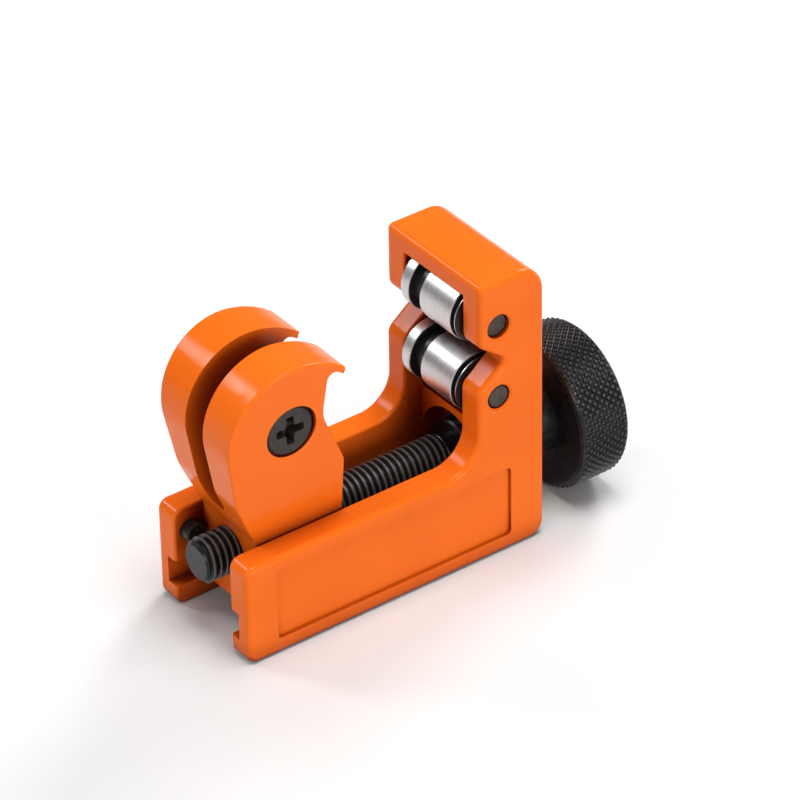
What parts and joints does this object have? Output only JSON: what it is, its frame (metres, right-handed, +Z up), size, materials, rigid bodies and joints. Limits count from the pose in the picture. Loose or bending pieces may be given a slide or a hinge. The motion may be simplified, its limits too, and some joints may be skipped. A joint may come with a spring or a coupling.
{
  "type": "pipe cutter",
  "caption": "Mini tube cutter: orange two-rail frame with a roller tower, sliding head with a cutter wheel, and a knurled knob on a feed screw.",
  "frame": {"origin": "centre of the whole tool's footprint, on the surface that the rails stand on", "axes": "+X along the rails from the open end towards the knob, +Y across the rails, +Z up"},
  "size_m": [0.08, 0.0284, 0.0549],
  "materials": {
    "orange_paint": "gloss powder coat on die-cast metal",
    "black_oxide": "satin black oxide on steel",
    "polished_steel": "polished, with blackened grooves",
    "pin_steel": "plain steel ends with a dull oxide film",
    "wheel_steel": "ground tool steel",
    "washer_steel": "zinc-plated"
  },
  "bodies": {
    "frame_body": {"frame": "orange_paint", "upper_roller_pin": "pin_steel", "lower_roller_pin": "pin_steel", "slide_stop_screw": "black_oxide"},
    "slide_body": {"slide": "orange_paint", "wheel_axle_screw": "black_oxide"},
    "wheel_body": {"cutter_wheel": "wheel_steel"},
    "screw_body": {"feed_screw": "black_oxide", "retaining_collar": "black_oxide", "collar_pin": "pin_steel", "collar_washer": "washer_steel", "thrust_washer": "washer_steel", "knob": "black_oxide", "knob_pin": "pin_steel"},
    "upper_roller_body": {"upper_roller": "polished_steel"},
    "lower_roller_body": {"lower_roller": "polished_steel"}
  },
  "joints": [
    {"name": "knob_turn", "type": "hinge", "parent": "frame_body", "child": "screw_body", "pos_m": [0, 0, 0.0143], "axis": [-1, 0, 0], "range_deg": [-120.96, 6456.96]},
    {"name": "slide_travel", "type": "slide", "parent": "frame_body", "child": "slide_body", "axis": [1, 0, 0], "range_m": [-0.0004, 0.0224]},
    {"name": "cutter_wheel_spin", "type": "hinge", "parent": "slide_body", "child": "wheel_body", "pos_m": [-0.02675, 0, 0.0403], "axis": [0, 1, 0], "continuous": true},
    {"name": "upper_roller_spin", "type": "hinge", "parent": "frame_body", "child": "upper_roller_body", "pos_m": [0.01305, 0, 0.046], "axis": [0, 1, 0], "continuous": true},
    {"name": "lower_roller_spin", "type": "hinge", "parent": "frame_body", "child": "lower_roller_body", "pos_m": [0.01305, 0, 0.03195], "axis": [0, 1, 0], "continuous": true}
  ],
  "couplings": [
    {"joint": "knob_turn", "follows": "slide_travel", "rad_per_m": 5026.5}
  ]
}
